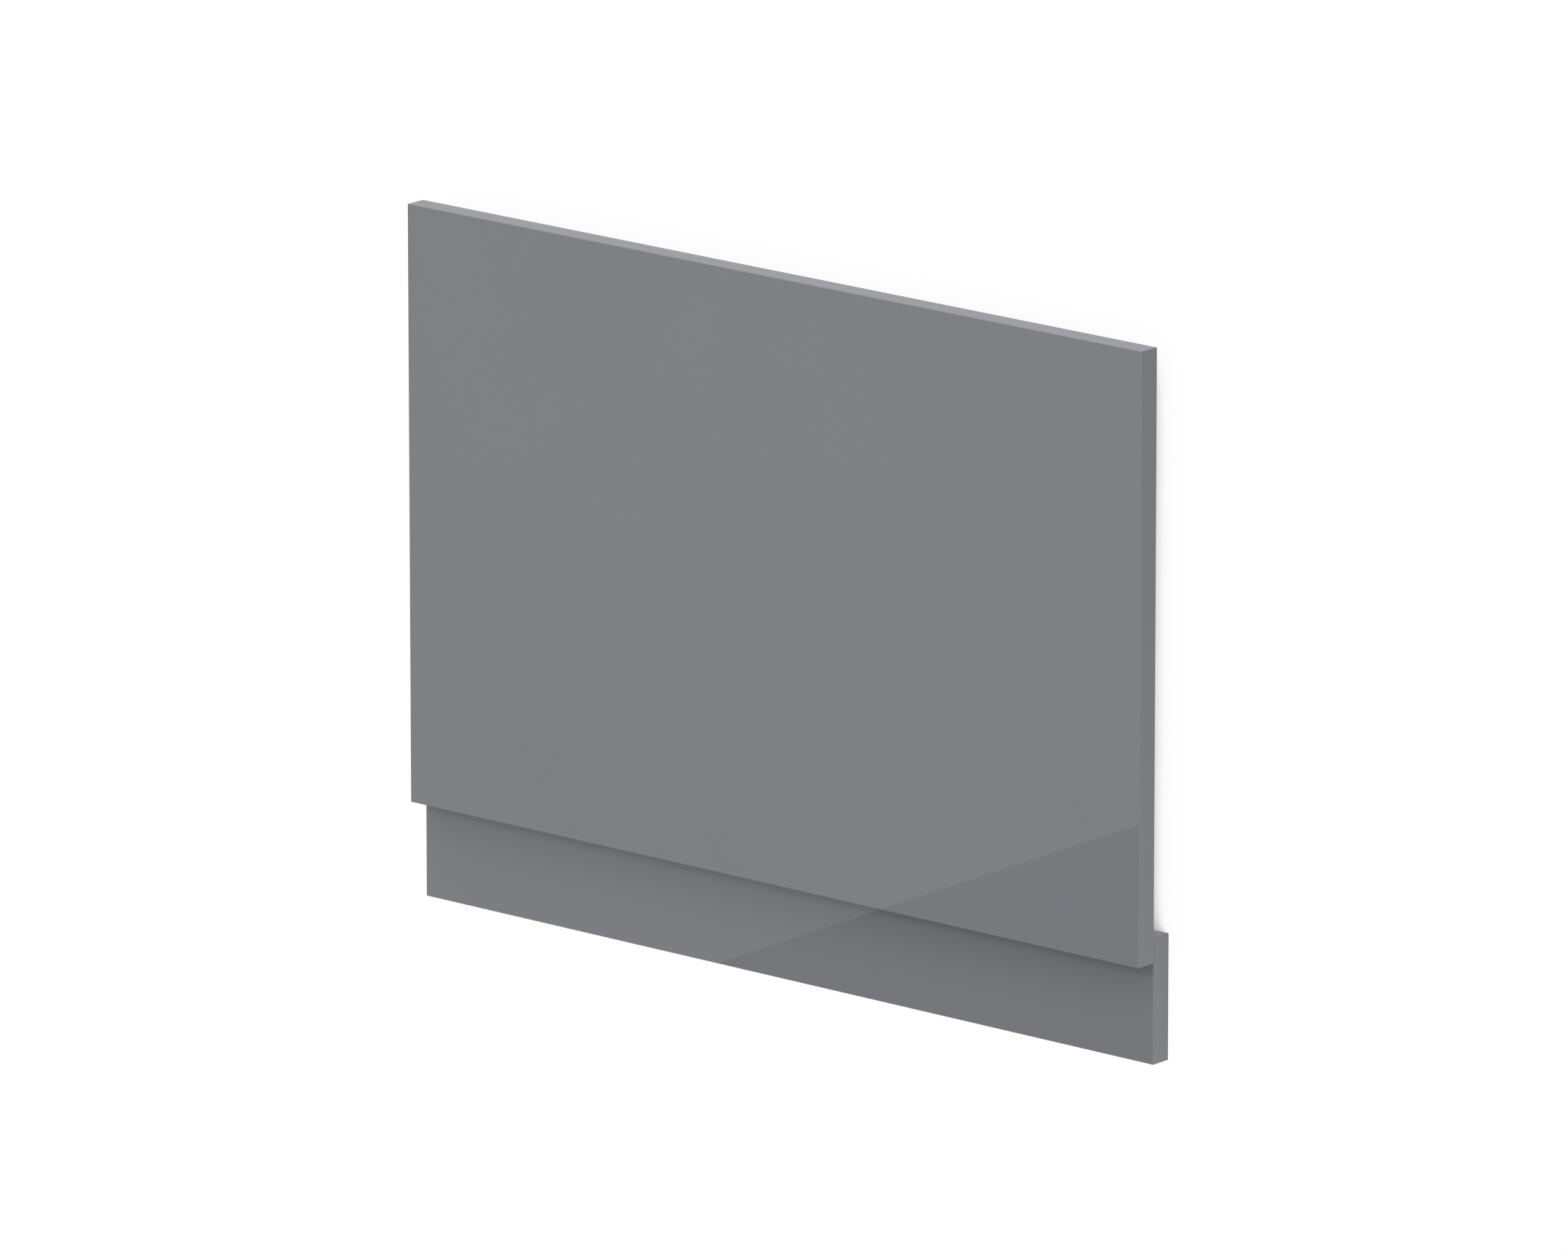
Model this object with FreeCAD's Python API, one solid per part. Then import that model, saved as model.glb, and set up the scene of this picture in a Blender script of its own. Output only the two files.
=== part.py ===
"""Bath end panel with its recessed plinth, lying on its back with the finished face up.

The main panel is a plain 18 mm board. The plinth is a second board of the same width. It stands
behind the foot of the panel, set back by the panel's own thickness, and laps a little way up the
panel's back. Countersunk wood screws go through that lap from behind and bite into the panel.

Sizes are in millimetres. +X runs along the width, +Y towards the panel's top edge and +Z out of the
finished face. The origin is the middle of the footprint, on the surface that the boards lie on.
"""

import FreeCAD, Part
import math
import os

# Boards
panel_width = 730.0
panel_height = 480.0
panel_thickness = 18.0
plinth_height = 100.0
plinth_thickness = 18.0
plinth_lap = 20.0
arris_radius = 0.5

# Screws that hold the plinth to the back of the panel
screw_diameter = 4.0
screw_head_diameter = 8.0
screw_head_rim = 0.4
screw_head_sink = 0.3
screw_bite = 12.0
screw_tip_length = 5.0
screw_end_margin = 65.0
screw_longest_pitch = 300.0

# Cross recess in each screw head
recess_span = 4.6
recess_foot_span = 2.0
recess_blade = 1.1
recess_depth = 2.0

# Holes that the screws pass through
shank_clearance = 0.25
thread_clearance = 0.05
pilot_spare_depth = 1.0
cut_overrun = 1.0

# Places that follow from the sizes
overall_height = panel_height + plinth_height - plinth_lap
plinth_foot_y = -overall_height / 2
panel_foot_y = plinth_foot_y + plinth_height - plinth_lap
panel_back_z = plinth_thickness
screw_row_y = panel_foot_y + plinth_lap / 2
screw_radius = screw_diameter / 2
head_radius = screw_head_diameter / 2
head_cone_z = screw_head_sink + screw_head_rim
screw_tip_z = panel_back_z + screw_bite

UP = FreeCAD.Vector(0, 0, 1)
ORIGIN = FreeCAD.Vector(0, 0, 0)


def eased_board(width, height, thickness, foot_y, back_z):
    """A flat board, centred on X, with the same small radius on every arris and corner."""
    corner = FreeCAD.Vector(-width / 2, foot_y, back_z)
    board = Part.makeBox(width, height, thickness, corner)
    return board.makeFillet(arris_radius, board.Edges)


def turned(outline, place):
    """A solid turned about the upright axis through place, from (radius, z) corners of half its section."""
    corners = [FreeCAD.Vector(radius, 0, z) for radius, z in outline]
    section = Part.Face(Part.makePolygon(corners + corners[:1]))
    solid = section.revolve(ORIGIN, UP, 360)
    solid.translate(place)
    return solid


def screw_places():
    """Evenly spaced points along the middle of the lap, with an equal margin at each end."""
    span = panel_width - 2 * screw_end_margin
    gaps = max(1, math.ceil(span / screw_longest_pitch))
    return [FreeCAD.Vector(span * (i / gaps - 0.5), screw_row_y, 0) for i in range(gaps + 1)]


def cross_recess(place):
    """The driver's cross: two tapering blades at right angles, open at the head's face."""
    foot_z = screw_head_sink + recess_depth
    half_mouth, half_foot = recess_span / 2, recess_foot_span / 2
    outline = [
        FreeCAD.Vector(-half_mouth, -recess_blade / 2, screw_head_sink),
        FreeCAD.Vector(half_mouth, -recess_blade / 2, screw_head_sink),
        FreeCAD.Vector(half_foot, -recess_blade / 2, foot_z),
        FreeCAD.Vector(-half_foot, -recess_blade / 2, foot_z),
    ]
    blade = Part.Face(Part.makePolygon(outline + outline[:1])).extrude(FreeCAD.Vector(0, recess_blade, 0))
    crossing = blade.copy()
    crossing.rotate(ORIGIN, UP, 90)
    cross = blade.fuse(crossing)
    cross.translate(place)
    return cross


def plinth_screw(place):
    """A countersunk wood screw, head down, with its pointed tip inside the panel."""
    body = turned(
        [
            (0, screw_head_sink),
            (head_radius, screw_head_sink),
            (head_radius, head_cone_z),
            (screw_radius, head_cone_z + head_radius - screw_radius),
            (screw_radius, screw_tip_z - screw_tip_length),
            (0, screw_tip_z),
        ],
        place,
    )
    return body.cut(cross_recess(place))


def countersunk_hole(place):
    """What is drilled out of the plinth: a clearance hole with a right-angled cone to seat a screw's head."""
    bore_radius = screw_radius + shank_clearance
    mouth_z = -cut_overrun
    return turned(
        [
            (0, mouth_z),
            (head_radius + head_cone_z - mouth_z, mouth_z),
            (bore_radius, head_cone_z + head_radius - bore_radius),
            (bore_radius, plinth_thickness + cut_overrun),
            (0, plinth_thickness + cut_overrun),
        ],
        place,
    )


def pilot_hole(place):
    """What is taken out of the panel's back: a blind hole for the threaded end of a screw."""
    bore_radius = screw_radius + thread_clearance
    bottom_z = screw_tip_z + pilot_spare_depth
    return turned(
        [
            (0, panel_back_z - cut_overrun),
            (bore_radius, panel_back_z - cut_overrun),
            (bore_radius, bottom_z),
            (0, bottom_z),
        ],
        place,
    )


def main_panel():
    board = eased_board(panel_width, panel_height, panel_thickness, panel_foot_y, panel_back_z)
    return board.cut([pilot_hole(place) for place in screw_places()])


def plinth():
    board = eased_board(panel_width, plinth_height, plinth_thickness, plinth_foot_y, 0)
    return board.cut([countersunk_hole(place) for place in screw_places()])


pieces = {"main_panel": main_panel(), "plinth": plinth()}
for number, place in enumerate(screw_places(), start=1):
    pieces[f"plinth_screw_{number}"] = plinth_screw(place)

os.makedirs("parts", exist_ok=True)
for name, shape in pieces.items():
    shape.exportStep(f"parts/{name}.step")
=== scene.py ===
"""The looks of a gloss grey bath end panel and its plinth, lying face up on a pale studio floor."""

import math

import bpy
from mathutils import Matrix, Vector


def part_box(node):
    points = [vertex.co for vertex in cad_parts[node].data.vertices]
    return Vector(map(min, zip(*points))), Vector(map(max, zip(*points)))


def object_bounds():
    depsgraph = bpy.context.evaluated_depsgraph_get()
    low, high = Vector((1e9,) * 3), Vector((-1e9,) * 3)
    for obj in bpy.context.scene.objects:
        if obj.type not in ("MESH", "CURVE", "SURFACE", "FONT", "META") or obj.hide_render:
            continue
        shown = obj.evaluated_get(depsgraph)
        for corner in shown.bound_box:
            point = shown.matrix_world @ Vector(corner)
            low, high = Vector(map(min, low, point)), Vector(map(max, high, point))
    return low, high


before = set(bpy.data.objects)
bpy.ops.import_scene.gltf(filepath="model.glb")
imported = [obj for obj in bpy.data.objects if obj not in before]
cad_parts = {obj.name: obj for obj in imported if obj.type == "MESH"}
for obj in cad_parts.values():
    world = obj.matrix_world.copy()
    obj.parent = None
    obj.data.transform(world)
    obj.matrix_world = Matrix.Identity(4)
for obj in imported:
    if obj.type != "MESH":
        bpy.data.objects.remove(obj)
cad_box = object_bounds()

# Places read from the parts imported from model.glb, in metres
half_width = cad_box[1].x
half_depth = cad_box[1].y
face_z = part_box("main_panel")[1].z
foot_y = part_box("plinth")[0].y
screws = [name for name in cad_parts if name.startswith("plinth_screw")]

# The photograph's view: how far the camera is turned from facing the panel, and how far it is raised
VIEW_TURN = math.radians(40.0)
VIEW_RISE = math.radians(15.0)
VIEW_DISTANCE = 13.648
VIEW_AIM = Vector((0.0152, 0.0063, face_z))
LENS_MM = 410.0
SENSOR_MM = 36.0

# Board finish, with colours as linear shares of white and scales as noise cells to the metre
BOARD_GREY = (0.1732, 0.1768, 0.1921)
GREY_SPREAD = 0.015
GREY_SCALE = 6.0
BOARD_IOR = 1.5
GLOSS_ROUGHNESS = (0.004, 0.010)
SATIN_ROUGHNESS = (0.30, 0.38)
HAZE_SCALE = 14.0
HAZE_DETAIL = 4.0
PEEL_SCALE = 300.0
PEEL_DEPTH = 0.0001
PEEL_ON_GLOSS = 0.003
PEEL_ON_SATIN = 0.3
BACK_NORMAL_Z = -0.5

# Screw finish
ZINC_DARK = (0.50, 0.51, 0.52, 1.0)
ZINC_LIGHT = (0.70, 0.69, 0.66, 1.0)
ZINC_ROUGHNESS = (0.28, 0.45)
ZINC_SCALE = 350.0
ZINC_DETAIL = 3.0
GRAIN_SCALE = 4000.0
GRAIN_DEPTH = 0.00005
GRAIN_STRENGTH = 0.2

# The stretch that holds nearly all of a noise's values, and the strength at which a glow renders as white
NOISE_MIDDLE = (0.3, 0.7)
WHITE = 1.0

# Light: an even dome, a brighter band low beyond the panel's top edge, a softbox and a strip by the foot
DOME_LEVEL = 0.715
DOME_BAND = 4.95
DOME_BAND_POWER = 2.0
SOFTBOX_PLACE = Vector((0.0, 3.0, 5.2))
SOFTBOX_AIM = Vector((0.0, 0.0, 0.0))
SOFTBOX_SIZE = (0.95, 0.95)
SOFTBOX_WATTS = 49.0
STRIP_PLACE = Vector((0.9, -0.65, 0.03))
STRIP_AIM = Vector((half_width, -0.2, 0.03))
STRIP_SIZE = (0.4, 0.06)
STRIP_WATTS = 1.65

# Floor, off centre so that the seam between its two triangles passes clear of the object
FLOOR_LOW = (-60.0, -40.0)
FLOOR_HIGH = (60.0, 80.0)
FLOOR_GREY = 0.62
MIRRORED_FLOOR = 0.67

# Painted shadow on the floor, seen by the camera: its reach, and how white its glow is where the floor is
# shut in, half open or fully open
PAINTED_SHADOW_REACH = 0.08
PAINTED_SHADOW_RAYS = 16
SHUT_PAINTED_GLOW = 0.15
HALF_OPEN = 0.3
HALF_OPEN_PAINTED_GLOW = 0.96
FULLY_OPEN = 0.75

# Grey card that the glossy faces mirror: where its edge seems to meet the foot, and how far off it stands
CARD_MARK = Vector((-0.0676, foot_y))
CARD_REACH = 2.0
CARD_WIDTH = 0.45
CARD_BELOW = 0.275
CARD_ABOVE = 0.825
CARD_GREY = 0.49


def grey(level):
    return (level, level, level, 1.0)


class Nodes:
    """A material's or world's node tree, with short ways to add and join nodes."""

    def __init__(self, owner):
        owner.use_nodes = True
        self.tree = owner.node_tree
        self.tree.nodes.clear()

    def add(self, kind, **settings):
        node = self.tree.nodes.new(kind)
        for name, value in settings.items():
            setattr(node, name, value)
        return node

    def join(self, source, target):
        self.tree.links.new(source, target)

    def fill(self, socket, source):
        """Joins a socket to another node's output, or sets it to a plain value."""
        if isinstance(source, bpy.types.NodeSocket):
            self.join(source, socket)
        else:
            socket.default_value = source

    def math(self, operation, *sources):
        node = self.add("ShaderNodeMath", operation=operation)
        for socket, source in zip(node.inputs, sources):
            self.fill(socket, source)
        return node.outputs["Value"]

    def split(self, vector):
        node = self.add("ShaderNodeSeparateXYZ")
        self.join(vector, node.inputs["Vector"])
        return node.outputs

    def noise(self, place, scale, detail=2.0):
        node = self.add("ShaderNodeTexNoise")
        node.inputs["Scale"].default_value = scale
        node.inputs["Detail"].default_value = detail
        self.join(place, node.inputs["Vector"])
        return node.outputs["Fac"]

    def ranged(self, noise, span):
        """Spreads the middle of a noise over a span."""
        node = self.add("ShaderNodeMapRange")
        for name, value in zip(("From Min", "From Max", "To Min", "To Max"), NOISE_MIDDLE + span):
            node.inputs[name].default_value = value
        self.join(noise, node.inputs["Value"])
        return node.outputs["Result"]

    def bump(self, height, depth, strength):
        node = self.add("ShaderNodeBump")
        node.inputs["Distance"].default_value = depth
        self.fill(node.inputs["Strength"], strength)
        self.join(height, node.inputs["Height"])
        return node.outputs["Normal"]

    def mixed(self, share, first, second, data_type="FLOAT"):
        node = self.add("ShaderNodeMix", data_type=data_type)
        self.join(share, node.inputs[0])
        pair = [socket for socket in node.inputs if socket.name in ("A", "B") and socket.enabled]
        self.fill(pair[0], first)
        self.fill(pair[1], second)
        return next(socket for socket in node.outputs if socket.enabled)

    def either(self, share, first, second):
        """The first shader where share is nought, and the second where it is one."""
        node = self.add("ShaderNodeMixShader")
        self.join(share, node.inputs["Fac"])
        self.join(first, node.inputs[1])
        self.join(second, node.inputs[2])
        return node.outputs["Shader"]

    def diffuse(self, level):
        node = self.add("ShaderNodeBsdfDiffuse")
        node.inputs["Color"].default_value = grey(level)
        return node.outputs["BSDF"]

    def glow(self, strength):
        node = self.add("ShaderNodeEmission")
        self.fill(node.inputs["Strength"], strength)
        return node.outputs["Emission"]

    def background(self, strength):
        node = self.add("ShaderNodeBackground")
        node.inputs["Color"].default_value = grey(WHITE)
        self.fill(node.inputs["Strength"], strength)
        return node.outputs["Background"]

    def rays(self):
        """Two switches: one for rays from the camera, one for rays that a shiny or clear face sent on."""
        path = self.add("ShaderNodeLightPath").outputs
        sent_on = self.math("MAXIMUM", path["Is Glossy Ray"], path["Is Transmission Ray"])
        return path["Is Camera Ray"], sent_on

    def finish(self, kind, shader):
        self.join(shader, self.add(kind).inputs["Surface"])


def board_material():
    """Gloss grey lacquer on the faces and edges, and a satin finish on the back."""
    material = bpy.data.materials.new("gloss_grey_board")
    n = Nodes(material)
    shader = n.add("ShaderNodeBsdfPrincipled")
    shader.inputs["IOR"].default_value = BOARD_IOR
    n.finish("ShaderNodeOutputMaterial", shader.outputs["BSDF"])
    coordinates = n.add("ShaderNodeTexCoord")
    place = coordinates.outputs["Object"]
    back = n.math("LESS_THAN", n.split(coordinates.outputs["Normal"])["Z"], BACK_NORMAL_Z)

    dark = tuple(c * (1 - GREY_SPREAD) for c in BOARD_GREY) + (1.0,)
    light = tuple(c * (1 + GREY_SPREAD) for c in BOARD_GREY) + (1.0,)
    n.join(n.mixed(n.noise(place, GREY_SCALE), dark, light, "RGBA"), shader.inputs["Base Color"])

    haze = n.noise(place, HAZE_SCALE, HAZE_DETAIL)
    roughness = n.mixed(back, n.ranged(haze, GLOSS_ROUGHNESS), n.ranged(haze, SATIN_ROUGHNESS))
    n.join(roughness, shader.inputs["Roughness"])

    peel = n.bump(n.noise(place, PEEL_SCALE), PEEL_DEPTH, n.mixed(back, PEEL_ON_GLOSS, PEEL_ON_SATIN))
    n.join(peel, shader.inputs["Normal"])
    return material


def screw_material():
    """Bright zinc on steel, a little uneven."""
    material = bpy.data.materials.new("zinc_plated_steel")
    n = Nodes(material)
    shader = n.add("ShaderNodeBsdfPrincipled")
    shader.inputs["Metallic"].default_value = 1.0
    n.finish("ShaderNodeOutputMaterial", shader.outputs["BSDF"])
    place = n.add("ShaderNodeTexCoord").outputs["Object"]
    blotch = n.noise(place, ZINC_SCALE, ZINC_DETAIL)
    n.join(n.mixed(blotch, ZINC_DARK, ZINC_LIGHT, "RGBA"), shader.inputs["Base Color"])
    n.join(n.ranged(blotch, ZINC_ROUGHNESS), shader.inputs["Roughness"])
    grain = n.bump(n.noise(place, GRAIN_SCALE), GRAIN_DEPTH, GRAIN_STRENGTH)
    n.join(grain, shader.inputs["Normal"])
    return material


def dress(node_names, material):
    for name in node_names:
        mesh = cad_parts[name].data
        mesh.materials.clear()
        mesh.materials.append(material)


def add_to_scene(name, data):
    piece = bpy.data.objects.new(name, data)
    bpy.context.scene.collection.objects.link(piece)
    return piece


def plate(name, corners, material):
    """A flat four-cornered stage piece."""
    mesh = bpy.data.meshes.new(name)
    mesh.from_pydata(corners, [], [range(len(corners))])
    mesh.materials.append(material)
    piece = add_to_scene(name, mesh)
    return piece


def aimed(place, back, up):
    """Where a lamp or camera stands, with its back towards one direction and its top towards another."""
    side = up.cross(back).normalized()
    turn = Matrix((side, back.cross(side), back)).transposed().to_4x4()
    return Matrix.Translation(place) @ turn


def painted_floor_shadow(n):
    """Painted shadow: how white the floor's glow is close to the object, by how open it lies to the space
    above it.
    """
    openness = n.add("ShaderNodeAmbientOcclusion", samples=PAINTED_SHADOW_RAYS)
    openness.inputs["Distance"].default_value = PAINTED_SHADOW_REACH
    painted_shadow_ramp = n.add("ShaderNodeValToRGB")
    shut, clear = painted_shadow_ramp.color_ramp.elements
    shut.color = grey(SHUT_PAINTED_GLOW)
    clear.position = FULLY_OPEN
    half = painted_shadow_ramp.color_ramp.elements.new(HALF_OPEN)
    half.color = grey(HALF_OPEN_PAINTED_GLOW)
    n.join(openness.outputs["AO"], painted_shadow_ramp.inputs["Fac"])
    return painted_shadow_ramp.outputs["Color"]


def make_floor():
    """A pale grey floor, plain in reflections. The camera sees it as a white glow, with the object's shadow
    painted into it.
    """
    material = bpy.data.materials.new("pale_floor")
    n = Nodes(material)
    from_camera, sent_on = n.rays()
    place = n.split(n.add("ShaderNodeTexCoord").outputs["Object"])
    beside = n.math("SUBTRACT", n.math("ABSOLUTE", place["X"]), half_width)
    beyond = n.math("SUBTRACT", n.math("ABSOLUTE", place["Y"]), half_depth)
    near = n.math("LESS_THAN", n.math("MAXIMUM", beside, beyond), PAINTED_SHADOW_REACH)
    # Painted shadow: near the object the camera sees a glow, darkened by how shut in the floor lies there
    seen = n.either(near, n.glow(WHITE), n.glow(painted_floor_shadow(n)))
    elsewhere = n.either(sent_on, n.diffuse(FLOOR_GREY), n.glow(MIRRORED_FLOOR))
    n.finish("ShaderNodeOutputMaterial", n.either(from_camera, elsewhere, seen))
    (left, front), (right, rear) = FLOOR_LOW, FLOOR_HIGH
    plate("floor", [(left, front, 0), (right, front, 0), (right, rear, 0), (left, rear, 0)], material)


def make_dome():
    """White where it is seen. As light it is even, apart from the band beyond the panel's top edge."""
    world = bpy.data.worlds.new("white_dome")
    n = Nodes(world)
    direction = n.split(n.add("ShaderNodeTexCoord").outputs["Generated"])
    beyond = n.math("MAXIMUM", direction["Y"], 0.0)
    lowness = n.math("SUBTRACT", 1.0, direction["Z"])
    band = n.math("POWER", n.math("MULTIPLY", beyond, lowness), DOME_BAND_POWER)
    light = n.background(n.math("MULTIPLY_ADD", band, DOME_BAND, DOME_LEVEL))
    seen = n.math("MAXIMUM", *n.rays())
    n.finish("ShaderNodeOutputWorld", n.either(seen, light, n.background(WHITE)))
    bpy.context.scene.world = world


def make_lamp(name, place, aim, size, watts):
    """A flat lamp with a level long side. It lights the object, and no reflection shows it."""
    data = bpy.data.lights.new(name, "AREA")
    data.shape = "RECTANGLE"
    data.size, data.size_y = size
    data.energy = watts
    lamp = add_to_scene(name, data)
    lamp.matrix_world = aimed(place, (place - aim).normalized(), Vector((0, 0, 1)))
    lamp.visible_camera = False
    lamp.visible_glossy = False


def make_camera():
    data = bpy.data.cameras.new("camera")
    data.lens = LENS_MM
    data.sensor_width = SENSOR_MM
    camera = add_to_scene("camera", data)
    run, rise = math.cos(VIEW_RISE), math.sin(VIEW_RISE)
    back = Vector((run * math.sin(VIEW_TURN), rise, run * math.cos(VIEW_TURN)))
    camera.matrix_world = aimed(VIEW_AIM + back * VIEW_DISTANCE, back, Vector((0, 1, 0)))
    bpy.context.scene.camera = camera
    return camera


def make_card(camera):
    """A grey card, seen only in glossy faces. Its edge is square to them, so both show it in one line."""
    material = bpy.data.materials.new("grey_card")
    n = Nodes(material)
    n.finish("ShaderNodeOutputMaterial", n.glow(CARD_GREY))
    eye = camera.matrix_world.translation
    sight = (CARD_MARK - eye.xy).normalized()
    sideways = Vector((-sight.y, sight.x))
    rise = (eye.z - face_z) / (eye.xy - CARD_MARK).length
    near = CARD_MARK + sight * CARD_REACH
    far = near + sideways * CARD_WIDTH
    low = CARD_REACH * rise - CARD_BELOW
    high = CARD_REACH * rise + CARD_ABOVE
    corners = [(near.x, near.y, low), (far.x, far.y, low), (far.x, far.y, high), (near.x, near.y, high)]
    card = plate("grey_card", corners, material)
    card.visible_camera = False
    card.visible_diffuse = False
    card.visible_transmission = False
    card.visible_shadow = False


dress(["main_panel", "plinth"], board_material())
dress(screws, screw_material())
make_floor()
make_dome()
make_lamp("softbox", SOFTBOX_PLACE, SOFTBOX_AIM, SOFTBOX_SIZE, SOFTBOX_WATTS)
make_lamp("strip_lamp", STRIP_PLACE, STRIP_AIM, STRIP_SIZE, STRIP_WATTS)
make_card(make_camera())
bpy.context.scene.view_settings.view_transform = "Standard"
